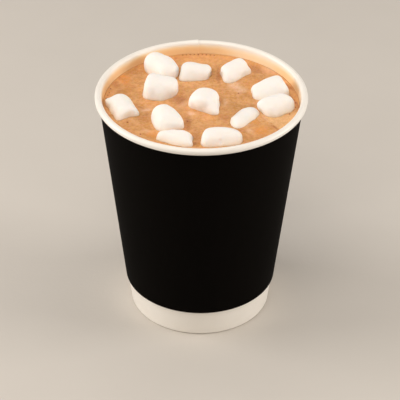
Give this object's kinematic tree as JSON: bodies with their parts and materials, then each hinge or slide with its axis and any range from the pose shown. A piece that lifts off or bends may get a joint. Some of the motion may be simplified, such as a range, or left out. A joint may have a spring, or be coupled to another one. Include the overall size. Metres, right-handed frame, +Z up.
{
  "type": "hot chocolate",
  "caption": "Hot chocolate with floating mini marshmallows in a double-wall paper takeaway cup with a rolled white rim and a black outer wall.",
  "frame": {"origin": "centre of the object's box at its lowest face, on the cup's axis where the foot meets the table", "axes": "+Z up along the cup's axis, -Y towards the side that the picture is taken from, +X to the picture's right"},
  "size_m": [0.09, 0.09, 0.1079],
  "materials": {
    "white_paper": "coated white paper, satin",
    "black_paper": "black printed paper, matt",
    "chocolate": "milky drink with a fine foam, wet and glossy",
    "marshmallow": "soft sugar foam, matt"
  },
  "bodies": {
    "root": {"cup_wall": "white_paper", "cup_base": "white_paper", "sleeve": "black_paper", "chocolate": "chocolate", "marshmallow_01": "marshmallow", "marshmallow_02": "marshmallow", "marshmallow_03": "marshmallow", "marshmallow_04": "marshmallow", "marshmallow_05": "marshmallow", "marshmallow_06": "marshmallow", "marshmallow_07": "marshmallow", "marshmallow_08": "marshmallow", "marshmallow_09": "marshmallow", "marshmallow_10": "marshmallow", "marshmallow_11": "marshmallow", "marshmallow_12": "marshmallow"}
  },
  "joints": []
}
